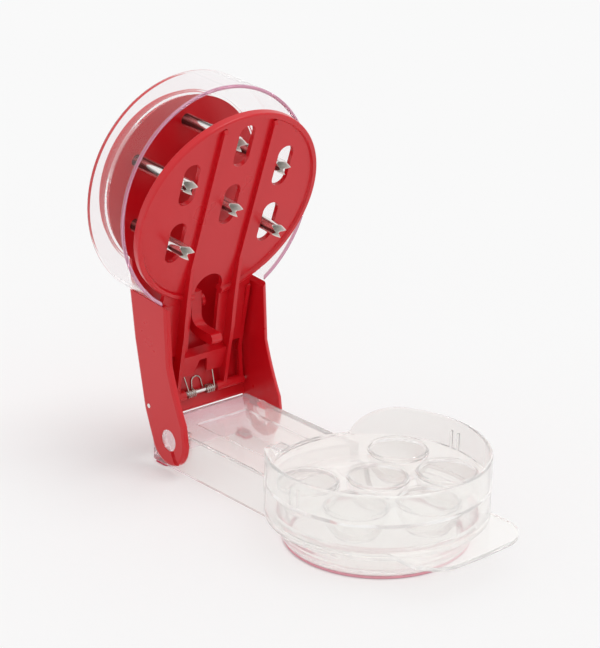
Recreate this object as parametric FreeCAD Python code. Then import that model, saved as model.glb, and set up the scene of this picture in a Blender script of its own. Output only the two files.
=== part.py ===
import FreeCAD, Part
import math
import os

# Cherry pitter with lever, in millimetres.
# The origin is on the floor under the middle of the cherry tray.
# +X points from the hinge to the tray's lift tab, +Y to the far cheek, +Z up.
# The lever stands open, as it is stored on a shelf or filled with cherries.

V = FreeCAD.Vector
ORIGIN = V(0, 0, 0)
AXIS_X = V(1, 0, 0)
AXIS_Y = V(0, 1, 0)
AXIS_Z = V(0, 0, 1)

# Clearances
running_gap = 0.08
side_gap = 0.3
seat_gap = 0.2
tray_lip_gap = 0.3
far = 400.0

# Juice bowl
tray_radius = 54.0
foot_radius = 45.0
foot_ring_width = 3.2
foot_ring_height = 1.4
bowl_floor = 2.2
bowl_wall = 2.2
bowl_top_radius = 48.8
ledge_height = 15.8
ledge_thickness = 2.4
lip_height = 2.8
lip_thickness = 1.8

# Hinge arm of the base
hinge_reach = 121.0
hinge_height = 18.0
arm_half_width = 30.0
arm_top = 23.5
arm_wall = 2.4
arm_tail = 17.0
arm_tail_round = 3.6
arm_tray_gap = 1.0
peg_radius = 5.8
peg_pad_radius = 8.5
peg_pad_depth = 3.4
panel_depth = 1.2
panel_back_half = 16.4
panel_front_half = 15.6
panel_inset = 2.0
catch_length = 13.0
catch_half_width = 4.6
rear_foot_length = 10.0
rear_foot_width = 6.5

# Cherry tray
tray_height = 29.5
tray_wall = 2.0
notch_half_width = 26.0
notch_depth = 14.0
notch_shoulder = 20.0
deck_drop = 14.5
deck_thickness = 1.8
cup_rim_radius = 13.6
cup_floor_radius = 8.6
cup_hole_radius = 6.0
cup_depth = 14.6
cup_wall = 1.6
cup_bead = 0.9
guide_rib_width = 1.2
guide_rib_height = 9.0
guide_rib_spread = 2.6
guide_rib_turn = 90.0
tab_reach = 16.5
tab_half_width = 33.0
tab_corner = 13.0
tab_thickness = 2.0

# Plunger tubes, one in the middle and five on a hexagon that lacks its inner corner
tube_pitch = 34.0
tube_radius = 3.45
tube_wall = 0.5
tube_reach = 45.0
tube_head_radius = 4.7
tube_head_height = 1.5
crown_depth = 5.0
crown_root = 0.9

# Lever housing, measured along the lever from the hinge and square to it
lever_lean = 5.5
ear_radius = 14.4
ear_setback = 0.8
cheek_thickness = 2.8
cheek_round = 2.0
slit_width = 3.0
slit_angle = 34.0
shell_wall = 2.4
heel_offset = 22.0
heel_rise = 10.0
back_bend_offset = 33.0
back_bend_rise = 45.0
back_head_overlap = 0.9
wall_foot = 3.2
tail_room = 0.4
front_setback = 3.2
front_slope = 0.151
front_rise = 40.0
head_setback = 40.0
head_thickness = 4.0
head_radius = 47.0
cap_height = 9.0
cap_rim = 3.2

# Splash shield
shield_radius = 60.0
shield_wall = 1.8
shield_front = 10.0
shield_back = 38.8
shield_collar_depth = 3.0
shield_fit = 0.05
shield_plate_gap = 5.0
shield_cut_rise = 0.6

# Stripper plate, measured from its pin
pin_rise = 12.5
pin_setback = 17.5
pin_radius = 1.2
stripper_tilt = 14.5
plate_offset = 13.0
plate_thickness = 2.4
plate_rim_width = 2.6
plate_rim_front = 1.3
plate_rim_back = 1.0
plate_centre_shift = -1.0
slot_length = 23.5
slot_width = 9.6
slot_shift = 1.4
rib_half_spacing = 15.6
rib_thickness = 2.2
rib_height = 2.2
flange_gap = 1.9
flange_thickness = 2.2
flange_foot_front = 1.8
flange_foot_drop = 2.7
flange_knee_front = 6.6
flange_knee_rise = 18.0
flange_waist_front = 9.8
flange_waist_rise = 39.0
barrel_start = 10.4
neck_flare = 58.0
neck_flare_half = 6.0
rib_foot_front = 2.0
rib_knee_front = 4.0
rib_knee_rise = 36.0
rib_waist_front = 8.2
rib_waist_rise = 57.0
rib_shoulder_rise = 75.0
pin_boss_radius = 2.6
web_gap = 0.6
window_half_width = 8.7
window_top = 67.0
crossbar_rise = 22.8
crossbar_front = 3.4
tongue_thickness = 1.5
tongue_bottom = 9.5
tongue_gap_top = 2.4
tongue_gap_bottom = 4.5
nub_width = 2.6
nub_height = 2.4

# Torsion spring, two coils joined by a loop that leans on the housing's back wall
wire_radius = 0.4
coil_radius = 2.1
coil_turns = 4
coil_pitch = 1.35
coil_start = 3.6
loop_length = 5.2
loop_round = 2.6
leg_overlap = 3.0
spring_gap = 0.06
pocket_gap = 0.35

# Storage latch
latch_rise = 60.0
latch_setback = 27.0
latch_half_width = 3.2
latch_pin_radius = 1.0
latch_boss_radius = 3.4
latch_lug_thickness = 2.2
latch_tip_forward = 18.4
latch_tip_drop = 13.5
latch_tip_radius = 2.9
latch_pad_reach = 12.6
latch_pad_half = 4.2
latch_slot_half_width = 4.2

# Worked out from the sizes above
hinge_x = -hinge_reach
cheek_inner = arm_half_width + side_gap
cheek_outer = cheek_inner + cheek_thickness
flange_half_spacing = cheek_inner - flange_gap
plate_radius = shield_radius - shield_plate_gap
wall_top = hinge_reach - head_radius * 0.72
tray_foot = ledge_height + seat_gap
tray_rim = tray_foot + tray_height
deck_top = tray_rim - deck_drop
lip_outer = tray_radius - tray_wall - tray_lip_gap
lip_inner = lip_outer - lip_thickness
arm_end_radius = tray_radius + arm_tray_gap
pattern_rise = hinge_reach - pin_rise
HEXAGON = [(0.0, 0.0)] + [(math.cos(math.radians(a)), math.sin(math.radians(a)))
                          for a in (0, 60, 120, 240, 300)]
TUBES = [(tube_pitch * u, tube_pitch * w) for u, w in HEXAGON]


def side(u, w):
    """A point of a side view: u forward, w up."""
    return V(u, 0, w)


def top(u, w):
    """A point of a top view: u forward, w across."""
    return V(u, w, 0)


def front(u, w):
    """A point of a front view: u across, w up."""
    return V(0, u, w)


def closed_wire(view, steps):
    """Closed outline. A step is a point, or a pair: an arc through the first to the second."""
    points = [step if not isinstance(step[0], tuple) else step[1] for step in steps]
    edges = []
    for index, step in enumerate(steps):
        start = view(*points[index - 1])
        if isinstance(step[0], tuple):
            edges.append(Part.Arc(start, view(*step[0]), view(*step[1])).toShape())
        elif (view(*step) - start).Length > 1e-6:
            edges.append(Part.LineSegment(start, view(*step)).toShape())
    return Part.Wire(edges)


def flat(view, steps):
    return Part.Face(closed_wire(view, steps))


def prism(view, steps, direction, near, distance):
    """The outline moved to near along direction and drawn out over distance."""
    face = flat(view, steps)
    face.translate(direction * near)
    return face.extrude(direction * distance)


def across(steps, low, high):
    """A side view outline drawn out between two values of Y."""
    return prism(side, steps, AXIS_Y, low, high - low)


def turned(steps):
    """A side view outline turned about Z."""
    return flat(side, steps).revolve(ORIGIN, AXIS_Z, 360)


def box(x0, x1, y0, y1, z0, z1):
    return Part.makeBox(x1 - x0, y1 - y0, z1 - z0, V(x0, y0, z0))


def rod(radius, start, direction, length):
    return Part.makeCylinder(radius, length, start, direction)


def pin_across(radius, x, z, half_length):
    return rod(radius, V(x, -half_length, z), AXIS_Y, 2 * half_length)


def both_sides(shape):
    """The shape and its mirror image across the plane of the lever."""
    return [shape, shape.mirror(ORIGIN, AXIS_Y)]


def joined(shapes):
    result = shapes[0].fuse(shapes[1:]) if len(shapes) > 1 else shapes[0]
    return result.removeSplitter()


def on_lever(shape):
    """From the lever's own frame to its open place on the base."""
    placed = shape.copy()
    placed.rotate(ORIGIN, AXIS_Y, lever_lean)
    placed.translate(V(hinge_x, 0, hinge_height))
    return placed


def on_stripper(shape):
    """From the stripper's own frame, with its pin at the origin, to its open place."""
    placed = shape.copy()
    placed.rotate(ORIGIN, AXIS_Y, stripper_tilt)
    placed.translate(V(-pin_setback, 0, pin_rise))
    return on_lever(placed)


# Base

def bowl_outside():
    """The filled outer form of the bowl, up to the top of its lip."""
    underside = ledge_height - ledge_thickness
    bulge = ((foot_radius + bowl_top_radius) / 2 + 0.6, underside * 0.45)
    return turned([
        (0, 0),
        (foot_radius - foot_ring_width, 0),
        (foot_radius - foot_ring_width, foot_ring_height),
        (foot_radius, foot_ring_height),
        (bulge, (bowl_top_radius, underside)),
        (tray_radius - 0.4, underside),
        (tray_radius, underside + 0.4),
        (tray_radius, ledge_height),
        (lip_outer, ledge_height),
        (lip_outer, ledge_height + lip_height - 0.5),
        (lip_outer - 0.5, ledge_height + lip_height),
        (0, ledge_height + lip_height),
    ])


def bowl_inside():
    """The room for juice and pits, with a step below the lip."""
    step_radius = bowl_top_radius - bowl_wall
    floor_radius = foot_radius - bowl_wall - 1.0
    corner = 4.0
    return turned([
        (0, bowl_floor),
        (floor_radius - corner, bowl_floor),
        ((floor_radius - corner * 0.28, bowl_floor + corner * 0.3),
         (floor_radius + 0.3, bowl_floor + corner)),
        (step_radius, ledge_height),
        (lip_inner, ledge_height),
        (lip_inner, far),
        (0, far),
    ])


def arm_outline(inset, low):
    """Side view of the arm, with its rounded tail, drawn in from the outside by inset."""
    tail = hinge_x - arm_tail + inset
    roof = arm_top - inset
    bend = arm_tail_round - inset
    diagonal = bend * (1 - math.sqrt(0.5))
    return [
        (tail, low),
        (tail, roof - bend),
        ((tail + diagonal, roof - diagonal), (tail + bend, roof)),
        (0, roof),
        (0, low),
    ]


def arm_solid():
    """Channel open below, closed towards the tray by a wall that follows the tray."""
    body = across(arm_outline(0, foot_ring_height), -arm_half_width, arm_half_width)
    inner = arm_half_width - arm_wall
    room = across(arm_outline(arm_wall, -1), -inner, inner)
    underside = ledge_height - ledge_thickness
    high_room = room.cut(rod(arm_end_radius + arm_wall, ORIGIN, AXIS_Z, far))
    low_room = room.common(box(-far, far, -far, far, -1, underside))
    body = body.cut([high_room, low_room])
    above_ledge = rod(arm_end_radius, V(0, 0, ledge_height), AXIS_Z, far)
    return body.cut([above_ledge, bowl_outside()])


def arm_panel():
    """The shallow tapered panel sunk into the arm's roof."""
    back = hinge_x + panel_inset
    end = -arm_end_radius - arm_wall - 3.0
    outline = [
        (back, -panel_back_half),
        (end, -panel_front_half),
        (end, panel_front_half),
        (back, panel_back_half),
    ]
    return prism(top, outline, AXIS_Z, arm_top - panel_depth, far)


def catch_hole():
    """Where the storage latch dips through the arm's roof."""
    middle = hinge_x + latch_rise - latch_tip_drop * 0.65
    return box(middle - catch_length / 2, middle + catch_length / 2,
               -catch_half_width, catch_half_width, arm_top - 2 * arm_wall, far)


def hinge_pegs():
    """Round pegs that the lever's ears turn on, each backed by a pad inside the wall."""
    inner = arm_half_width - arm_wall
    pegs = []
    for shape in (
        rod(peg_radius, V(hinge_x, arm_half_width - 1, hinge_height), AXIS_Y,
            cheek_outer - arm_half_width + 0.6),
        rod(peg_pad_radius, V(hinge_x, inner - peg_pad_depth, hinge_height), AXIS_Y,
            peg_pad_depth + 1),
    ):
        pegs += both_sides(shape)
    roof = across(arm_outline(0, foot_ring_height), -far, far)
    return [peg.common(roof) for peg in pegs]


def tail_wall_pads():
    """Corner blocks at the tail that hold the rear feet."""
    tail = hinge_x - arm_tail
    inner = arm_half_width - rear_foot_width
    block = box(tail, tail + rear_foot_length, inner, arm_half_width - 0.5,
                foot_ring_height, foot_ring_height + arm_wall)
    return both_sides(block)


def juice_base():
    base = joined([bowl_outside(), arm_solid()] + hinge_pegs() + tail_wall_pads())
    return base.cut([bowl_inside(), arm_panel(), catch_hole()]).removeSplitter()


def foot_ring():
    inner = foot_radius - foot_ring_width
    return turned([
        (inner, 0),
        (foot_radius - 0.4, 0),
        (foot_radius, 0.4),
        (foot_radius, foot_ring_height),
        (inner, foot_ring_height),
    ])


def rear_foot():
    """A small pad under the far corner of the tail."""
    tail = hinge_x - arm_tail
    pad = box(tail, tail + rear_foot_length, arm_half_width - rear_foot_width,
              arm_half_width - 0.5, 0, foot_ring_height)
    upright = [edge for edge in pad.Edges if edge.BoundBox.ZLength > foot_ring_height / 2]
    return pad.makeFillet(min(2.0, rear_foot_width / 3), upright)


# Tray

def tray_shell():
    """Round wall with a soft top edge, and the deck inside it."""
    inner = tray_radius - tray_wall
    crown = tray_wall / 2
    wall = turned([
        (inner, tray_foot),
        (tray_radius, tray_foot),
        (tray_radius, tray_rim - crown),
        ((tray_radius - crown, tray_rim), (inner, tray_rim - crown)),
    ])
    deck = rod(inner + tray_wall / 2, V(0, 0, deck_top - deck_thickness), AXIS_Z, deck_thickness)
    return wall.fuse(deck)


def tray_notch():
    """The low part of the wall that lets the stripper's neck in, with soft shoulders."""
    low = tray_rim - notch_depth
    outer = notch_half_width + notch_shoulder
    toe = notch_depth * 0.16
    right = [
        (notch_half_width - toe, low),
        ((notch_half_width - toe * 0.3, low + toe * 0.3), (notch_half_width, low + toe)),
        ((notch_half_width + notch_shoulder * 0.36, low + notch_depth * 0.68), (outer, tray_rim)),
    ]
    left = [
        (-outer, tray_rim),
        ((-notch_half_width - notch_shoulder * 0.36, low + notch_depth * 0.68),
         (-notch_half_width, low + toe)),
        ((-notch_half_width + toe * 0.3, low + toe * 0.3), (-notch_half_width + toe, low)),
    ]
    outline = right + [(outer, tray_rim + 1), (-outer, tray_rim + 1)] + left
    return prism(front, outline, -AXIS_X, 1, far)


def cup_outside():
    floor = deck_top - cup_depth
    return turned([
        (0, floor),
        (cup_floor_radius + cup_wall - 1.0, floor),
        ((cup_floor_radius + cup_wall + 0.1, floor + 0.5), (cup_floor_radius + cup_wall + 0.5, floor + 1.6)),
        ((cup_rim_radius + cup_wall - 0.7, floor + cup_depth * 0.55), (cup_rim_radius + cup_wall, deck_top)),
        (cup_rim_radius + cup_wall - 0.2, deck_top + cup_bead),
        (0, deck_top + cup_bead),
    ])


def cup_inside():
    """The seat for one cherry, with the hole that its pit leaves by."""
    floor = deck_top - cup_depth
    return turned([
        (0, floor - 1),
        (cup_hole_radius, floor - 1),
        (cup_hole_radius, floor + cup_wall),
        (cup_floor_radius - 0.6, floor + cup_wall + 0.5),
        ((cup_rim_radius - 1.2, floor + cup_depth * 0.5), (cup_rim_radius, deck_top + cup_bead)),
        (cup_rim_radius, far),
        (0, far),
    ])


def tray_tab():
    """Lift tab at the foot of the wall, opposite the hinge."""
    end = tray_radius + tab_reach
    half = tab_half_width
    corner = tab_corner
    outline = [
        (tray_radius * 0.6, -half),
        (end - corner * 1.15, -half),
        ((end - corner * 0.32, -half + corner * 0.45), (end, -half + corner * 1.3)),
        (end + 0.6, 0),
        (end, half - corner * 1.3),
        ((end - corner * 0.32, half - corner * 0.45), (end - corner * 1.15, half)),
        (tray_radius * 0.6, half),
    ]
    tab = prism(top, outline, AXIS_Z, tray_foot, tab_thickness)
    return tab.cut(rod(tray_radius - tray_wall / 2, ORIGIN, AXIS_Z, far))


def guide_ribs():
    """Pairs of short upright ribs inside the wall, over the deck."""
    inner = tray_radius - tray_wall
    ribs = []
    for middle in (-guide_rib_turn, guide_rib_turn):
        for offset in (-guide_rib_spread, guide_rib_spread):
            rib = box(inner - guide_rib_width, inner + tray_wall / 2,
                      -guide_rib_width / 2, guide_rib_width / 2,
                      deck_top - deck_thickness / 2, deck_top + guide_rib_height)
            rib.rotate(ORIGIN, AXIS_Z, middle + offset)
            ribs.append(rib)
    return ribs


def cherry_tray():
    cups = []
    rooms = []
    for x, y in TUBES:
        for group, make in ((cups, cup_outside), (rooms, cup_inside)):
            shape = make()
            shape.translate(V(x, y, 0))
            group.append(shape)
    shell = tray_shell().cut(tray_notch())
    return joined([shell, tray_tab()] + guide_ribs() + cups).cut(rooms)


# Lever

def back_line(rise):
    """How far behind the hinge the housing's back surface is, at a height along the lever."""
    if rise < back_bend_rise:
        slope = (back_bend_offset - heel_offset) / (back_bend_rise - heel_rise)
    else:
        disc_back = head_setback + head_thickness - back_head_overlap
        slope = (disc_back - back_bend_offset) / (wall_top - back_bend_rise)
    return -back_bend_offset - slope * (rise - back_bend_rise)


def front_line(rise):
    """The front edge of the cheeks above the throat."""
    return -front_setback - front_slope * (rise - front_rise)


def cheek_outline():
    """Side view of a cheek from its round ear to above the head's edge."""
    top_rise = hinge_reach - shield_radius * shield_cut_rise
    heel = (back_line(heel_rise), heel_rise)
    ear_back = (-ear_setback - ear_radius * 0.94, -ear_radius * 0.34)
    ear_front = (-ear_setback + ear_radius * 0.995, ear_radius * 0.1)
    brow = (ear_radius * 0.76, ear_radius * 0.85)
    waist = (front_line(front_rise), front_rise)
    return [
        ear_front,
        ((-ear_setback, -ear_radius), ear_back),
        ((-heel_offset * 0.84, heel_rise * 0.28), heel),
        (back_line(back_bend_rise), back_bend_rise),
        (back_line(top_rise), top_rise),
        (front_line(top_rise), top_rise),
        waist,
        ((waist[0] * 0.35 + brow[0] * 0.56, front_rise * 0.5 + brow[1] * 0.2), brow),
    ]


def inward(face, distance, place):
    """The outline of a face drawn in by distance and moved out to place along Y."""
    wire = face.OuterWire if distance == 0 else face.makeOffset2D(-distance, 2).OuterWire
    wire.translate(V(0, place, 0))
    return wire


def cheek(low, high):
    """One cheek with a rounded outer edge, its top edge cut to the round of the splash shield."""
    face = flat(side, cheek_outline())
    shoulder = high - cheek_round
    plate = across(cheek_outline(), low, shoulder)
    layers = [(0, shoulder), (0.29 * cheek_round, high - 0.29 * cheek_round), (cheek_round, high)]
    for (inset, place), (next_inset, next_place) in zip(layers, layers[1:]):
        outlines = [inward(face, inset, place), inward(face, next_inset, next_place)]
        plate = plate.fuse(Part.makeLoft(outlines, True, True))
    plate = plate.removeSplitter()
    return plate.cut(rod(shield_radius + side_gap, V(far / 2, 0, hinge_reach), -AXIS_X, far))


def ear_opening():
    """Hole for the peg, and the slit that lets the ear snap over it."""
    hole = pin_across(peg_radius + running_gap, 0, 0, cheek_outer + 1)
    slit = box(-slit_width / 2, slit_width / 2, -cheek_outer - 1, cheek_outer + 1, -far, 0)
    slit.rotate(ORIGIN, AXIS_Y, -slit_angle)
    return [hole, slit]


def housing_back():
    """Back wall between the cheeks, from behind the arm's tail up into the head."""
    heel = (back_line(heel_rise), heel_rise)
    foot = (-heel_offset * 0.84, wall_foot)
    bend = (back_line(back_bend_rise), back_bend_rise)
    crown = (back_line(wall_top), wall_top)
    wall = [
        (foot[0] + shell_wall, foot[1]),
        foot,
        heel,
        bend,
        crown,
        (crown[0] + shell_wall, crown[1]),
        (bend[0] + shell_wall, bend[1]),
        (heel[0] + shell_wall, heel[1]),
    ]
    return across(wall, -cheek_inner - 0.5, cheek_inner + 0.5)


def tail_sweep():
    """Radius about the hinge that the arm's tail needs as the lever shuts."""
    centre = math.hypot(arm_tail - arm_tail_round, arm_top - arm_tail_round - hinge_height)
    return centre + arm_tail_round + tail_room


def head_disc():
    """Round plate that carries the plunger tubes."""
    return rod(head_radius, V(-head_setback - head_thickness, 0, hinge_reach), AXIS_X, head_thickness)


def tube_places(radius, start, length):
    """A row of rods at the tubes' places, in the lever's frame."""
    return [rod(radius, V(start, y, hinge_reach + u), AXIS_X, length) for u, y in TUBES]


def pin_pockets():
    """Room in the back wall for the stripper's bosses, the coils and the loop of the spring."""
    boss_room = pin_across(pin_boss_radius + side_gap, -pin_setback, pin_rise, cheek_inner)
    coil_depth = coil_radius + wire_radius + pocket_gap
    tongue_depth = crossbar_front + tongue_thickness + side_gap
    top_rise = tongue_bottom + 2 * tongue_thickness
    half = rib_half_spacing + side_gap
    spring_room = across([
        (-coil_depth, 0),
        (-tongue_depth, tongue_bottom - 0.5),
        (-tongue_depth, top_rise),
        (0, top_rise),
        (0, 0),
    ], -half, half)
    spring_room.translate(V(-pin_setback, 0, pin_rise))
    return [boss_room, spring_room]


def latch_lugs():
    """Ears on the back wall that carry the storage latch's pin."""
    wall = back_line(latch_rise) + shell_wall / 2
    outline = [
        (wall, latch_rise - latch_boss_radius - 1.5),
        (-latch_setback, latch_rise - latch_boss_radius),
        ((-latch_setback + latch_boss_radius, latch_rise), (-latch_setback, latch_rise + latch_boss_radius)),
        (wall, latch_rise + latch_boss_radius + 1.5),
    ]
    low = latch_half_width + side_gap
    return both_sides(across(outline, low, low + latch_lug_thickness))


def latch_window():
    """Opening in the back wall for the latch's thumb pad."""
    return box(-far, -latch_setback - latch_boss_radius,
               -latch_slot_half_width, latch_slot_half_width,
               latch_rise - 7.5, latch_rise + 7.5)


def lever_frame():
    cheeks = both_sides(cheek(cheek_inner, cheek_outer))
    frame = joined(cheeks + [housing_back(), head_disc()] + latch_lugs())
    cuts = ear_opening()
    cuts.append(pin_across(tail_sweep(), 0, 0, cheek_inner))
    cuts.append(pin_across(pin_radius, -pin_setback, pin_rise, far))
    cuts.append(pin_across(latch_pin_radius, -latch_setback, latch_rise, cheek_inner - 1))
    cuts.append(latch_window())
    cuts += pin_pockets()
    cuts += tube_places(tube_radius, -head_setback - head_thickness - 1, head_thickness + 2)
    return on_lever(frame.cut(cuts))


def back_cap():
    """Domed cover behind the head, which the palm presses on."""
    face = -head_setback - head_thickness
    shoulder = cap_height * 0.72
    dome = flat(side, [
        (face, 0),
        (face - cap_height, 0),
        ((face - cap_height + 0.5, head_radius * 0.5), (face - shoulder, head_radius - 4.0)),
        ((face - shoulder * 0.8, head_radius - 1.4), (face - cap_rim, head_radius)),
        (face, head_radius),
    ]).revolve(ORIGIN, AXIS_X, 360)
    dome.translate(V(0, 0, hinge_reach))
    rooms = tube_places(tube_head_radius, face - tube_head_height, tube_head_height + 1)
    return on_lever(dome.cut(rooms))


def crown_notches(length):
    """Two crossed V cuts that leave four points on a tube's end."""
    notch = [
        (length + 1, -tube_radius * 0.96),
        (length - crown_depth, -crown_root / 2),
        (length - crown_depth, crown_root / 2),
        (length + 1, tube_radius * 0.96),
    ]
    cuts = []
    for turn in (45, 135):
        wedge = prism(top, notch, AXIS_Z, -tube_radius - 1, 2 * tube_radius + 2)
        wedge.rotate(ORIGIN, AXIS_X, turn)
        cuts.append(wedge)
    return cuts


def plunger_tube(u, y):
    """Steel tube with a flared head behind the disc and a crown-cut tip."""
    face = -head_setback
    length = tube_reach
    tube = rod(tube_radius, V(-head_thickness, 0, 0), AXIS_X, length + head_thickness)
    head = rod(tube_head_radius, V(-head_thickness - tube_head_height, 0, 0), AXIS_X, tube_head_height)
    bore = rod(tube_radius - tube_wall, V(-head_thickness - tube_head_height - 1, 0, 0),
               AXIS_X, length + 2 * head_thickness + 2)
    tube = tube.fuse(head).removeSplitter().cut([bore] + crown_notches(length))
    tube.translate(V(face, y, hinge_reach + u))
    return on_lever(tube)


def splash_shield():
    """Clear ring round the head, open where the neck of the lever passes."""
    inner = shield_radius - shield_wall
    hole = head_radius + shield_fit
    collar = hole + shield_wall * 0.8
    back = -shield_back - shield_wall
    ring = flat(side, [
        (-shield_front - 0.9, inner),
        ((-shield_front, inner + shield_wall / 2), (-shield_front - 0.9, shield_radius)),
        (-shield_back, shield_radius),
        ((-shield_back - shield_wall * 0.7, shield_radius - shield_wall * 0.3), (back, inner)),
        (back, collar),
        (back - shield_collar_depth, collar),
        (back - shield_collar_depth, hole),
        (-shield_back, hole),
        (-shield_back, inner),
    ]).revolve(ORIGIN, AXIS_X, 360)
    ring.translate(V(0, 0, hinge_reach))
    neck = box(-far, far, -cheek_outer - side_gap, cheek_outer + side_gap,
               0, hinge_reach - head_radius * shield_cut_rise)
    return on_lever(ring.cut(neck))


# Stripper

def plate_disc():
    """Round plate with a low rim on both faces."""
    middle = pattern_rise + plate_centre_shift
    inner = plate_radius - plate_rim_width
    front_face = -plate_offset
    back_face = front_face - plate_thickness
    disc = flat(side, [
        (back_face, 0),
        (back_face, inner - 0.8),
        (back_face - plate_rim_back, inner),
        (back_face - plate_rim_back, plate_radius - 0.7),
        (back_face - plate_rim_back + 0.7, plate_radius),
        (front_face + plate_rim_front - 0.9, plate_radius),
        ((front_face + plate_rim_front - 0.25, plate_radius - 0.3),
         (front_face + plate_rim_front, plate_radius - 1.0)),
        (front_face + plate_rim_front, inner),
        (front_face, inner - 0.8),
        (front_face, 0),
    ]).revolve(ORIGIN, AXIS_X, 360)
    disc.translate(V(0, 0, middle))
    return disc


def web_back(rise):
    """The back of the neck's web, which clears the housing's back wall when the lever is shut."""
    return back_line(rise + pin_rise) + shell_wall + web_gap + pin_setback


def neck_web():
    """Web of the neck: it leaves the plate's plane to follow the housing's back wall."""
    low = crossbar_rise
    bend = neck_flare - neck_flare_half
    upper_back = max(web_back(bend), -plate_offset - plate_thickness)
    outline = [
        (web_back(low), low),
        (upper_back, bend),
        (-plate_offset - plate_thickness, neck_flare + neck_flare_half),
        (-plate_offset, neck_flare + neck_flare_half),
        (upper_back + plate_thickness, bend),
        (web_back(low) + plate_thickness, low),
    ]
    half = flange_half_spacing
    return across(outline, -half, half)


def boss_steps():
    """The lower end of a rib or flange: down its back to the boss round the pin."""
    radius = pin_boss_radius
    diagonal = radius * math.sqrt(0.5)
    return [
        (web_back(crossbar_rise) + 0.4, crossbar_rise),
        (web_back(radius * 1.2) + 0.4, radius * 1.2),
        (-radius, 0),
        ((-diagonal, -diagonal), (0, -radius)),
    ]


def inner_rib():
    """Rib beside the window: low on the plate, deep at the pin."""
    root = -plate_offset - plate_thickness / 2
    crest = -plate_offset + rib_height
    end = pattern_rise + plate_centre_shift + plate_radius - 6.0
    outline = [
        ((pin_boss_radius, 0), (pin_boss_radius * 0.5, pin_boss_radius * 0.866)),
        (-rib_foot_front, crossbar_rise - tongue_thickness),
        (-rib_knee_front, rib_knee_rise),
        ((-rib_waist_front, rib_waist_rise), (crest, rib_shoulder_rise)),
        (crest, end - 2.0),
        (crest - 1.0, end),
        (root, end),
        (root, neck_flare - neck_flare_half),
    ] + boss_steps()
    return across(outline, rib_half_spacing - rib_thickness / 2, rib_half_spacing + rib_thickness / 2)


def side_flange():
    """Flange at the neck's edge: it falls away from the plate's rim and widens to the pin."""
    root = -plate_offset - plate_thickness / 2
    crest = -plate_offset + plate_rim_front
    end = neck_flare - 4.0
    outline = [
        ((pin_boss_radius * 0.6, -pin_boss_radius * 0.8), (-flange_foot_front + 2.0, flange_foot_drop)),
        (-flange_knee_front, flange_knee_rise),
        (-flange_waist_front, flange_waist_rise),
        (crest, end),
        (root, end),
    ] + boss_steps()
    return across(outline, flange_half_spacing - flange_thickness, flange_half_spacing)


def hinge_barrel():
    """Round sleeve on the pin, from beside the coils to the flange."""
    return rod(pin_boss_radius, V(0, barrel_start, 0), AXIS_Y, flange_half_spacing - barrel_start)


def neck_window():
    """Long opening of the neck, round at its top, that the storage latch shows through."""
    centre = window_top - window_half_width
    outline = [
        (-window_half_width, crossbar_rise),
        (window_half_width, crossbar_rise),
        (window_half_width, centre),
        ((0, window_top), (-window_half_width, centre)),
    ]
    return prism(front, outline, -AXIS_X, 0, far)


def crossbar():
    """Block between the ribs with two tongues that the spring's legs press on."""
    half = rib_half_spacing
    face = -crossbar_front
    shelf_bottom = crossbar_rise - tongue_thickness
    shelf = across([
        (web_back(crossbar_rise), crossbar_rise),
        (web_back(shelf_bottom), shelf_bottom),
        (face, shelf_bottom),
        (face, crossbar_rise),
    ], -half, half)
    plate = prism(front, [
        (-half, crossbar_rise),
        (-half, tongue_bottom),
        (-tongue_gap_bottom, tongue_bottom),
        (-tongue_gap_top, crossbar_rise - 4.0),
        (tongue_gap_top, crossbar_rise - 4.0),
        (tongue_gap_bottom, tongue_bottom),
        (half, tongue_bottom),
        (half, crossbar_rise),
    ], AXIS_X, face - tongue_thickness, tongue_thickness)
    nub = box(web_back(crossbar_rise), web_back(crossbar_rise) + 2.0, -nub_width / 2, nub_width / 2,
              crossbar_rise - 0.5, crossbar_rise + nub_height)
    return [shelf, plate, nub]


def slots():
    """Long round-ended slots that the plunger tubes pass through."""
    half = (slot_length - slot_width) / 2
    radius = slot_width / 2
    cuts = []
    for u, y in TUBES:
        middle = pattern_rise + slot_shift + u
        outline = [
            (y + radius, middle - half),
            (y + radius, middle + half),
            ((y, middle + half + radius), (y - radius, middle + half)),
            (y - radius, middle - half),
            ((y, middle - half - radius), (y + radius, middle - half)),
        ]
        cuts.append(prism(front, outline, -AXIS_X, 0, far))
    return cuts


def stripper_plate():
    sides = both_sides(inner_rib()) + both_sides(side_flange()) + both_sides(hinge_barrel())
    plate = joined([plate_disc(), neck_web()] + sides + crossbar())
    bore = pin_across(pin_radius + running_gap, 0, 0, far)
    return on_stripper(plate.cut([bore, neck_window()] + slots()))


def stripper_pin():
    pin = pin_across(pin_radius, -pin_setback, pin_rise, cheek_outer + 0.2)
    return on_lever(pin)


# Torsion spring

def biarc(start, start_dir, end, end_dir):
    """Two arcs that leave start along start_dir and reach end along end_dir."""
    gap = end - start
    blend = start_dir + end_dir
    a = 2 * (1 - start_dir.dot(end_dir))
    b = 2 * gap.dot(blend)
    c = -gap.dot(gap)
    if abs(a) < 1e-9:
        reach = -c / b
    else:
        reach = (-b + math.sqrt(b * b - 4 * a * c)) / (2 * a)
    knee_a = start + start_dir * reach
    knee_b = end - end_dir * reach
    joint = (knee_a + knee_b) * 0.5
    return arc_or_line(start, start_dir, joint) + arc_or_line(joint, (knee_b - knee_a).normalize(), end)


def arc_or_line(start, direction, end):
    """The arc from start along direction to end, or the straight line where it has no bend."""
    chord = end - start
    along = chord.dot(direction)
    across_part = chord - direction * along
    if across_part.Length < 1e-7 * chord.Length:
        return [Part.LineSegment(start, end).toShape()]
    normal = across_part.normalize()
    radius = chord.dot(chord) / (2 * chord.dot(normal))
    centre = start + normal * radius
    middle = (start + end) * 0.5 - centre
    through = centre + middle.normalize() * radius
    if along < 0:
        through = centre - middle.normalize() * radius
    return [Part.Arc(start, through, end).toShape()]


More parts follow.
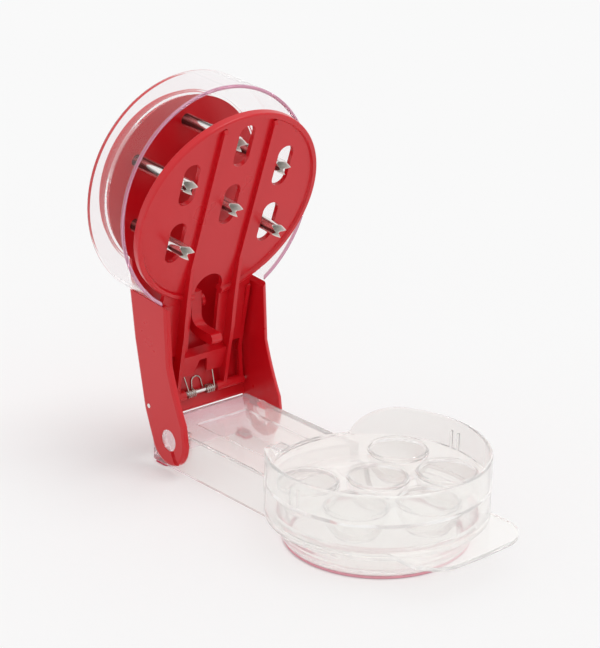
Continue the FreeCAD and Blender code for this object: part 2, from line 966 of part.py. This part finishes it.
def loop_lean():
    """Lean of the loop, whose crest touches the housing's back wall."""
    slope = (back_bend_offset - heel_offset) / (back_bend_rise - heel_rise)
    wall = -pin_setback - back_line(pin_rise) - shell_wall
    room = wall * math.cos(math.atan(slope)) - wire_radius - spring_gap
    reach = loop_length + loop_round
    swing = math.asin(room / math.hypot(coil_radius, reach))
    return math.atan(slope) + swing - math.atan2(coil_radius, reach)


def leg_lean():
    """Lean of the legs, which pass just behind the lower edges of the tongues."""
    tilt = math.radians(stripper_tilt)
    depth = crossbar_front + tongue_thickness
    edge_t = tongue_bottom * math.sin(tilt) - depth * math.cos(tilt)
    edge_a = tongue_bottom * math.cos(tilt) + depth * math.sin(tilt)
    reach = coil_radius + wire_radius + spring_gap
    return math.atan2(-edge_t, edge_a) + math.asin(reach / math.hypot(edge_t, edge_a))


def coil_point(angle, start_angle):
    """Place and direction of a coil round the pin, the angle counted from the pin's front."""
    slope = coil_pitch / (2 * math.pi)
    place = V(coil_radius * math.cos(angle), coil_start + slope * (angle - start_angle),
              coil_radius * math.sin(angle))
    heading = V(-coil_radius * math.sin(angle), slope, coil_radius * math.cos(angle))
    return place, heading.normalize()


def half_spring():
    """Path of the far half: from the crest of the loop, round the pin and up the leg."""
    start_angle = math.pi + loop_lean()
    end_angle = 2 * math.pi * coil_turns + leg_lean()
    steps = 2 * coil_turns
    first, heading = coil_point(start_angle, start_angle)
    shoulder = first - heading * loop_length
    crest = first - heading * (loop_length + loop_round)
    crest.y = 0
    path = biarc(crest, AXIS_Y, shoulder, heading)
    path.append(Part.LineSegment(shoulder, first).toShape())
    place = first
    for step in range(1, steps + 1):
        angle = start_angle + (end_angle - start_angle) * step / steps
        reached, turned_to = coil_point(angle, start_angle)
        path += biarc(place, heading, reached, turned_to)
        place, heading = reached, turned_to
    rise = (tongue_bottom ** 2 + (crossbar_front + tongue_thickness) ** 2) ** 0.5
    tip = place + heading * (rise + leg_overlap)
    path.append(Part.LineSegment(place, tip).toShape())
    return path, tip, heading


def self_gap(path):
    """Least gap between stretches of the wire that are not neighbours."""
    points = []
    travelled = 0.0
    for edge in path:
        count = max(4, int(edge.Length / 0.25))
        for point in edge.discretize(count)[:-1]:
            points.append((travelled, point))
            travelled += edge.Length / (count - 1)
    least = far
    for index, (place, point) in enumerate(points):
        for other_place, other in points[index + 1:]:
            if other_place - place > 3 * coil_radius:
                least = min(least, point.distanceToPoint(other))
    return least - 2 * wire_radius


def torsion_spring():
    far_half, tip, heading = half_spring()
    near_half = [edge.mirror(ORIGIN, AXIS_Y) for edge in far_half]
    path = Part.Wire(list(reversed(near_half)) + far_half)
    print("spring least gap to itself %.2f mm" % self_gap(far_half))
    start = V(tip.x, -tip.y, tip.z)
    profile = Part.Wire(Part.makeCircle(wire_radius, start, V(heading.x, -heading.y, heading.z)))
    spring = path.makePipeShell([profile], True, False)
    spring.translate(V(-pin_setback, 0, pin_rise))
    return on_lever(spring)


# Storage latch

def latch_hook():
    """Hook with a round tip, a pivot in the middle and a thumb pad behind the housing."""
    radius = latch_tip_radius
    tip = (latch_tip_forward, -latch_tip_drop)
    boss = latch_boss_radius
    root = math.sqrt(0.5)
    outline = [
        (boss * 0.7, boss * 1.9),
        (boss * 0.95, -boss * 1.3),
        ((boss * 1.7, tip[1] + radius + boss * 0.3), (boss * 2.9, tip[1] + radius)),
        (tip[0], tip[1] + radius),
        ((tip[0] + radius, tip[1]), (tip[0], tip[1] - radius)),
        (boss * 2.6, tip[1] - radius * 0.8),
        ((boss * 0.2, -boss * 3.6), (-boss * 0.8, -boss * 1.8)),
        (-boss, -latch_pad_half * 0.7),
        (-latch_pad_reach + 1.0, -latch_pad_half),
        ((-latch_pad_reach, 0), (-latch_pad_reach + 1.0, latch_pad_half)),
        (-boss, latch_pad_half * 0.8),
        (-boss * 0.8, boss * 1.9),
    ]
    hook = across(outline, -latch_half_width, latch_half_width)
    hook = hook.cut(pin_across(latch_pin_radius + running_gap, 0, 0, far))
    hook.translate(V(-latch_setback, 0, latch_rise))
    return on_lever(hook)


def latch_pin():
    half = latch_half_width + side_gap + latch_lug_thickness
    return on_lever(pin_across(latch_pin_radius, -latch_setback, latch_rise, half))


def main():
    os.makedirs("parts", exist_ok=True)
    nodes = {
        "juice_base": juice_base(),
        "foot_ring": foot_ring(),
        "cherry_tray": cherry_tray(),
        "lever_frame": lever_frame(),
        "back_cap": back_cap(),
        "splash_shield": splash_shield(),
        "stripper_plate": stripper_plate(),
        "stripper_pin": stripper_pin(),
        "torsion_spring": torsion_spring(),
        "latch_hook": latch_hook(),
        "latch_pin": latch_pin(),
    }
    for name, foot in zip(("rear_foot_far", "rear_foot_near"), both_sides(rear_foot())):
        nodes[name] = foot
    for index, (u, y) in enumerate(TUBES):
        nodes["plunger_tube_%d" % (index + 1)] = plunger_tube(u, y)
    for name, shape in nodes.items():
        count = len(shape.Solids)
        print("%-18s solids %d valid %s volume %.0f" % (name, count, shape.isValid(), shape.Volume))
        shape.exportStep("parts/%s.step" % name)


main()
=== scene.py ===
import math

import bpy
from mathutils import Matrix, Vector


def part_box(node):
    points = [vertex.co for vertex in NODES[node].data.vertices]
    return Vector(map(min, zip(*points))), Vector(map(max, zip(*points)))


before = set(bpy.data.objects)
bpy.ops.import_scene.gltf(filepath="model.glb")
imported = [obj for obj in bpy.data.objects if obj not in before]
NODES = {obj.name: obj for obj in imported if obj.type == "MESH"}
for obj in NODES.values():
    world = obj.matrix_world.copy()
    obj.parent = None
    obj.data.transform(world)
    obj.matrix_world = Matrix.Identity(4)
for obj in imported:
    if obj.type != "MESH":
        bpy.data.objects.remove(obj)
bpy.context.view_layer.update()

MM = 0.001

# Camera: place and sensor in millimetres, angles in degrees, for a picture 648 pixels high,
# and the nearest and furthest things that it sees, in metres
camera_place = (588.2, -561.7, 402.1)
camera_azimuth = 48.981
camera_elevation = 19.932
camera_roll = 0.634
focal_pixels = 1876.5
picture_height = 648.0
sensor = 36.0
clip_near = 0.05
clip_far = 20.0

# Light: strengths, brightness of the backdrop, how far the floor is lifted towards it,
# and the lamp's direction with its spread in degrees
world_light = 0.72
backdrop = 0.94
floor_lift = 0.22
key_strength = 1.05
key_towards = (0.22, 0.24, 1.0)
key_spread = 36.0

# Floor, in metres: half its width, and how far it lies under the feet
floor_half = 6.0
floor_drop = 0.0002

# The lever's frame in the open place: the hinge in millimetres, and the lean of the lever
hinge = (-121.0, 0.0, 18.0)
lever_lean = math.radians(5.5)
lever_forward = (math.cos(lever_lean), 0.0, -math.sin(lever_lean))

# Front edge of the splash shield, and the matt band behind it that bears a painted reflection of the red
# parts, in millimetres forward of the hinge
shield_front = -10.0
rim_band = 1.6
rim_full = 0.7

# The stretch of the arm whose clear plastic is tinted pink as a painted reflection of the red housing
# round it, in millimetres backward
tail_start = 112.0
tail_end = 134.0

# Streaks of the drawn tubes, along their drawn grain, in near black and near white that are painted
# reflections: their length against their width is one to streak_squeeze, and the noise values where they
# are darkest and brightest
streak_squeeze = 0.04
streak_dark = 0.40
streak_bright = 0.52

# Most of a noise texture's values lie between these
noise_low = 0.3
noise_high = 0.7

# Colours
red_light = (0.640, 0.0050, 0.0125, 1)
red_dark = (0.620, 0.0047, 0.0118, 1)
clear_colour = (1.0, 0.997, 0.984, 1)
# painted reflection: the pink that the arm's tail shows from the red housing round it
clear_tail_painted_reflection = (0.98, 0.84, 0.88, 1)
clear_shade = (0.974, 0.967, 0.964, 1)
shield_colour = (0.985, 0.965, 0.970, 1)
# painted reflection: the pink of the red parts seen in the shield's front rim
shield_rim_painted_reflection = (0.66, 0.31, 0.44, 1)
shield_shade = (0.975, 0.970, 0.970, 1)
foot_red = (0.62, 0.030, 0.075, 1)
ring_pink = (0.80, 0.36, 0.43, 1)
pin_grey = (0.80, 0.79, 0.77, 1)
wire_grey = (0.55, 0.51, 0.46, 1)
# painted reflections: the dark and bright streaks stand in for the surroundings mirrored in the steel
tube_painted_dark_reflection = (0.12, 0.10, 0.095, 1)
tube_painted_bright_reflection = (0.93, 0.92, 0.90, 1)
tube_inside = (0.88, 0.86, 0.82, 1)
floor_light = (0.92, 0.92, 0.92, 1)
floor_dark = (0.91, 0.91, 0.91, 1)


# Camera

def make_camera():
    az = math.radians(camera_azimuth)
    el = math.radians(camera_elevation)
    roll = math.radians(camera_roll)
    back = Vector((math.sin(az) * math.cos(el), -math.cos(az) * math.cos(el), math.sin(el)))
    right = Vector((math.cos(az), math.sin(az), 0))
    up = back.cross(right)
    right_rolled = right * math.cos(roll) + up * math.sin(roll)
    up_rolled = up * math.cos(roll) - right * math.sin(roll)
    data = bpy.data.cameras.new("camera")
    data.sensor_fit = "AUTO"
    data.sensor_width = sensor
    data.lens = focal_pixels / picture_height * sensor
    data.clip_start = clip_near
    data.clip_end = clip_far
    camera = bpy.data.objects.new("camera", data)
    bpy.context.scene.collection.objects.link(camera)
    turn = Matrix((right_rolled, up_rolled, back)).transposed()
    camera.matrix_world = Matrix.Translation(Vector(camera_place) * MM) @ turn.to_4x4()
    bpy.context.scene.camera = camera


# Shader nodes

def new_material(name):
    material = bpy.data.materials.new(name)
    material.use_nodes = True
    tree = material.node_tree
    return material, tree, tree.nodes["Principled BSDF"]


def set_inputs(node, values):
    for name, value in values.items():
        node.inputs[name].default_value = value


def feed(tree, socket, value):
    """Give a socket a fixed value, or link it to another node's output."""
    if isinstance(value, bpy.types.NodeSocket):
        tree.links.new(value, socket)
    else:
        socket.default_value = value


def object_place(tree):
    return tree.nodes.new("ShaderNodeTexCoord").outputs["Object"]


def noise_texture(tree, place, scale, detail):
    noise = tree.nodes.new("ShaderNodeTexNoise")
    set_inputs(noise, {"Scale": scale, "Detail": detail})
    tree.links.new(place, noise.inputs["Vector"])
    return noise.outputs["Fac"]


def object_noise(tree, scale, detail):
    return noise_texture(tree, object_place(tree), scale, detail)


def vector_math(tree, operation, first, second):
    node = tree.nodes.new("ShaderNodeVectorMath")
    node.operation = operation
    feed(tree, node.inputs[0], first)
    feed(tree, node.inputs["Scale" if operation == "SCALE" else 1], second)
    return node.outputs["Value" if operation == "DOT_PRODUCT" else "Vector"]


def number_math(tree, operation, first, second):
    node = tree.nodes.new("ShaderNodeMath")
    node.operation = operation
    feed(tree, node.inputs[0], first)
    feed(tree, node.inputs[1], second)
    return node.outputs["Value"]


def map_range(tree, value, low, high, to_low=0.0, to_high=1.0):
    """A number that goes from to_low to to_high while value goes from low to high."""
    node = tree.nodes.new("ShaderNodeMapRange")
    set_inputs(node, {"From Min": low, "From Max": high, "To Min": to_low, "To Max": to_high})
    tree.links.new(value, node.inputs["Value"])
    return node.outputs["Result"]


def mix_colours(tree, factor, first, second):
    node = tree.nodes.new("ShaderNodeMix")
    node.data_type = "RGBA"
    tree.links.new(factor, node.inputs["Factor"])
    feed(tree, node.inputs["A"], first)
    feed(tree, node.inputs["B"], second)
    return node.outputs["Result"]


def mix_shaders(tree, factor, first, second):
    """Send a mix of two shaders to the material's output."""
    node = tree.nodes.new("ShaderNodeMixShader")
    tree.links.new(factor, node.inputs["Fac"])
    tree.links.new(first, node.inputs[1])
    tree.links.new(second, node.inputs[2])
    tree.links.new(node.outputs["Shader"], tree.nodes["Material Output"].inputs["Surface"])


def add_bump(tree, shader, noise, strength, distance):
    bump = tree.nodes.new("ShaderNodeBump")
    set_inputs(bump, {"Strength": strength, "Distance": distance})
    tree.links.new(noise, bump.inputs["Height"])
    tree.links.new(bump.outputs["Normal"], shader.inputs["Normal"])


def vary_roughness(tree, shader, noise, low, high):
    spread = map_range(tree, noise, noise_low, noise_high, low, high)
    tree.links.new(spread, shader.inputs["Roughness"])


def distance_along(tree, origin, direction):
    """How far a point of the surface lies from origin in a direction, in metres."""
    offset = vector_math(tree, "SUBTRACT", object_place(tree), origin)
    return vector_math(tree, "DOT_PRODUCT", offset, direction)


def let_light_pass(tree, shader, shade):
    """Light on its way to other surfaces only takes on the shade of the clear plastic."""
    path = tree.nodes.new("ShaderNodeLightPath")
    straight = tree.nodes.new("ShaderNodeBsdfTransparent")
    straight.inputs["Color"].default_value = shade
    passing = number_math(tree, "MAXIMUM", path.outputs["Is Shadow Ray"], path.outputs["Is Diffuse Ray"])
    mix_shaders(tree, passing, shader.outputs["BSDF"], straight.outputs["BSDF"])


def direct_sight(tree):
    """1 where the camera, metal or glass looks at a surface, 0 for the light that it passes on."""
    path = tree.nodes.new("ShaderNodeLightPath")
    straight = number_math(tree, "MAXIMUM",
                           path.outputs["Is Camera Ray"], path.outputs["Is Transmission Ray"])
    return number_math(tree, "MAXIMUM", straight, path.outputs["Is Glossy Ray"])


# Materials

def red_plastic():
    """Moulded red plastic: slightly uneven gloss and a very fine grain."""
    material, tree, shader = new_material("red_plastic")
    fine = object_noise(tree, scale=900.0, detail=2.0)
    broad = object_noise(tree, scale=40.0, detail=3.0)
    tree.links.new(mix_colours(tree, broad, red_light, red_dark), shader.inputs["Base Color"])
    shader.inputs["IOR"].default_value = 1.5
    vary_roughness(tree, shader, broad, low=0.27, high=0.31)
    add_bump(tree, shader, fine, strength=0.05, distance=0.0001)
    return material


def clear_plastic():
    """Clear moulded plastic, a little hazy, with a pink painted reflection of the housing on the arm's
    tail.
    """
    material, tree, shader = new_material("clear_plastic")
    noise = object_noise(tree, scale=55.0, detail=2.0)
    # Painted reflection: the clear plastic turns pink towards the arm's tail, standing in for the red
    # housing seen in it
    backward = distance_along(tree, (0, 0, 0), (-1, 0, 0))
    tail = map_range(tree, backward, tail_start * MM, tail_end * MM)
    tree.links.new(mix_colours(tree, tail, clear_colour, clear_tail_painted_reflection), shader.inputs["Base Color"])
    set_inputs(shader, {"Transmission Weight": 0.76, "IOR": 1.27})
    vary_roughness(tree, shader, noise, low=0.04, high=0.07)
    add_bump(tree, shader, noise, strength=0.05, distance=0.0004)
    let_light_pass(tree, shader, clear_shade)
    return material


def shield_plastic():
    """Clearer than the base, with a matt front rim that bears a painted pink reflection of the red
    beside it.
    """
    material, tree, shader = new_material("shield_plastic")
    noise = object_noise(tree, scale=55.0, detail=2.0)
    forward = distance_along(tree, tuple(h * MM for h in hinge), lever_forward)
    # Painted reflection: the front rim band turns pink and less clear, standing in for the red beside it
    rim = map_range(tree, forward, (shield_front - rim_band) * MM, (shield_front - rim_full) * MM)
    tree.links.new(mix_colours(tree, rim, shield_colour, shield_rim_painted_reflection), shader.inputs["Base Color"])
    clear = map_range(tree, rim, 0.0, 1.0, to_low=0.97, to_high=0.35)
    tree.links.new(clear, shader.inputs["Transmission Weight"])
    shader.inputs["IOR"].default_value = 1.17
    vary_roughness(tree, shader, noise, low=0.02, high=0.035)
    add_bump(tree, shader, noise, strength=0.05, distance=0.0004)
    let_light_pass(tree, shader, shield_shade)
    return material


def soft_rubber(name, colour):
    material, tree, shader = new_material(name)
    noise = object_noise(tree, scale=600.0, detail=3.0)
    set_inputs(shader, {"Base Color": colour, "IOR": 1.45})
    vary_roughness(tree, shader, noise, low=0.55, high=0.7)
    add_bump(tree, shader, noise, strength=0.25, distance=0.0002)
    return material


def steel(name, colour, low, high, grain):
    """Plain steel, with its least and greatest roughness and the fineness of its grain."""
    material, tree, shader = new_material(name)
    noise = object_noise(tree, scale=grain, detail=4.0)
    set_inputs(shader, {"Base Color": colour, "Metallic": 1.0})
    vary_roughness(tree, shader, noise, low, high)
    add_bump(tree, shader, noise, strength=0.06, distance=0.0001)
    return material


def drawn_tube(name, centre):
    """Drawn steel tube: long streaks outside, painted dark and bright reflections along the grain, and a
    duller and lighter wall inside.
    """
    material, tree, shader = new_material(name)
    offset = vector_math(tree, "SUBTRACT", object_place(tree), centre)
    along = vector_math(tree, "DOT_PRODUCT", offset, lever_forward)
    axial = vector_math(tree, "SCALE", lever_forward, along)
    radial = vector_math(tree, "SUBTRACT", offset, axial)
    normal = tree.nodes.new("ShaderNodeTexCoord").outputs["Normal"]
    facing = vector_math(tree, "DOT_PRODUCT", radial, normal)
    inside = number_math(tree, "LESS_THAN", facing, 0.0)

    shortened = vector_math(tree, "SCALE", axial, streak_squeeze)
    stretched = vector_math(tree, "ADD", radial, shortened)
    streaks = noise_texture(tree, stretched, scale=420.0, detail=2.0)
    # Painted reflections: near-black and near-white streaks along the tube stand in for the dark and
    # bright surroundings it mirrors
    tone = tree.nodes.new("ShaderNodeValToRGB")
    dark, bright = tone.color_ramp.elements
    dark.position = streak_dark
    dark.color = tube_painted_dark_reflection
    bright.position = streak_bright
    bright.color = tube_painted_bright_reflection
    tree.links.new(streaks, tone.inputs["Fac"])
    colour = mix_colours(tree, inside, tone.outputs["Color"], tube_inside)
    tree.links.new(colour, shader.inputs["Base Color"])
    metal = map_range(tree, inside, 0.0, 1.0, to_low=0.86, to_high=0.25)
    tree.links.new(metal, shader.inputs["Metallic"])
    dullness = map_range(tree, inside, 0.0, 1.0, to_low=0.11, to_high=0.45)
    tree.links.new(dullness, shader.inputs["Roughness"])
    add_bump(tree, shader, streaks, strength=0.05, distance=0.0001)
    return material


def floor_material():
    """Pale paper: it keeps the shadow, lifted a little towards the backdrop where it is looked at."""
    material, tree, shader = new_material("floor")
    noise = object_noise(tree, scale=3.0, detail=2.0)
    tree.links.new(mix_colours(tree, noise, floor_light, floor_dark), shader.inputs["Base Color"])
    set_inputs(shader, {"Roughness": 0.9, "Specular IOR Level": 0.0})
    glow = tree.nodes.new("ShaderNodeEmission")
    glow.inputs["Color"].default_value = (backdrop, backdrop, backdrop, 1)
    share = number_math(tree, "MULTIPLY", direct_sight(tree), floor_lift)
    mix_shaders(tree, share, shader.outputs["BSDF"], glow.outputs["Emission"])
    return material


def paint(node, material):
    data = NODES[node].data
    data.materials.clear()
    data.materials.append(material)


def dress():
    """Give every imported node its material."""
    red = red_plastic()
    clear = clear_plastic()
    pin_steel = steel("steel", pin_grey, low=0.10, high=0.18, grain=300.0)
    single = {
        "splash_shield": shield_plastic(),
        "foot_ring": soft_rubber("ring_rubber", ring_pink),
        "torsion_spring": steel("spring_steel", wire_grey, low=0.20, high=0.30, grain=500.0),
        "stripper_pin": pin_steel,
        "latch_pin": pin_steel,
        "juice_base": clear,
        "cherry_tray": clear,
    }
    foot_rubber = soft_rubber("foot_rubber", foot_red)
    for node in NODES:
        if node.startswith("plunger_tube"):
            low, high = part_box(node)
            centre = tuple((a + b) / 2 for a, b in zip(low, high))
            paint(node, drawn_tube(node + "_steel", centre))
        elif node.startswith("rear_foot"):
            paint(node, foot_rubber)
        else:
            paint(node, single.get(node, red))


# Surroundings

def make_floor():
    mesh = bpy.data.meshes.new("floor")
    corners = [(-1, -1), (1, -1), (1, 1), (-1, 1)]
    mesh.from_pydata([(x * floor_half, y * floor_half, 0) for x, y in corners], [], [(0, 1, 2, 3)])
    floor = bpy.data.objects.new("floor", mesh)
    floor.location.z = -floor_drop
    mesh.materials.append(floor_material())
    bpy.context.scene.collection.objects.link(floor)


def make_key_lamp():
    """A lamp so far off that it lights the whole floor alike; its spread softens the shadow."""
    data = bpy.data.lights.new("key", "SUN")
    data.angle = math.radians(key_spread)
    data.energy = key_strength
    lamp = bpy.data.objects.new("key", data)
    lamp.rotation_mode = "QUATERNION"
    lamp.rotation_quaternion = Vector(key_towards).to_track_quat("Z", "Y")
    bpy.context.scene.collection.objects.link(lamp)


def make_world():
    """Even white light, with the pale backdrop where the camera, metal or glass looks at it."""
    world = bpy.data.worlds.new("studio")
    world.use_nodes = True
    bpy.context.scene.world = world
    tree = world.node_tree
    light = tree.nodes["Background"]
    set_inputs(light, {"Color": (1, 1, 1, 1), "Strength": world_light})
    seen = tree.nodes.new("ShaderNodeBackground")
    set_inputs(seen, {"Color": (backdrop, backdrop, backdrop, 1), "Strength": 1.0})
    mix = tree.nodes.new("ShaderNodeMixShader")
    tree.links.new(direct_sight(tree), mix.inputs["Fac"])
    tree.links.new(light.outputs["Background"], mix.inputs[1])
    tree.links.new(seen.outputs["Background"], mix.inputs[2])
    tree.links.new(mix.outputs["Shader"], tree.nodes["World Output"].inputs["Surface"])


def let_light_through():
    """Enough bounces for light to pass all the walls of the clear pieces."""
    paths = bpy.context.scene.cycles
    paths.max_bounces = 40
    paths.transmission_bounces = 40
    paths.glossy_bounces = 16
    paths.transparent_max_bounces = 40


make_camera()
dress()
make_floor()
make_world()
make_key_lamp()
bpy.context.scene.view_settings.view_transform = "Standard"
let_light_through()
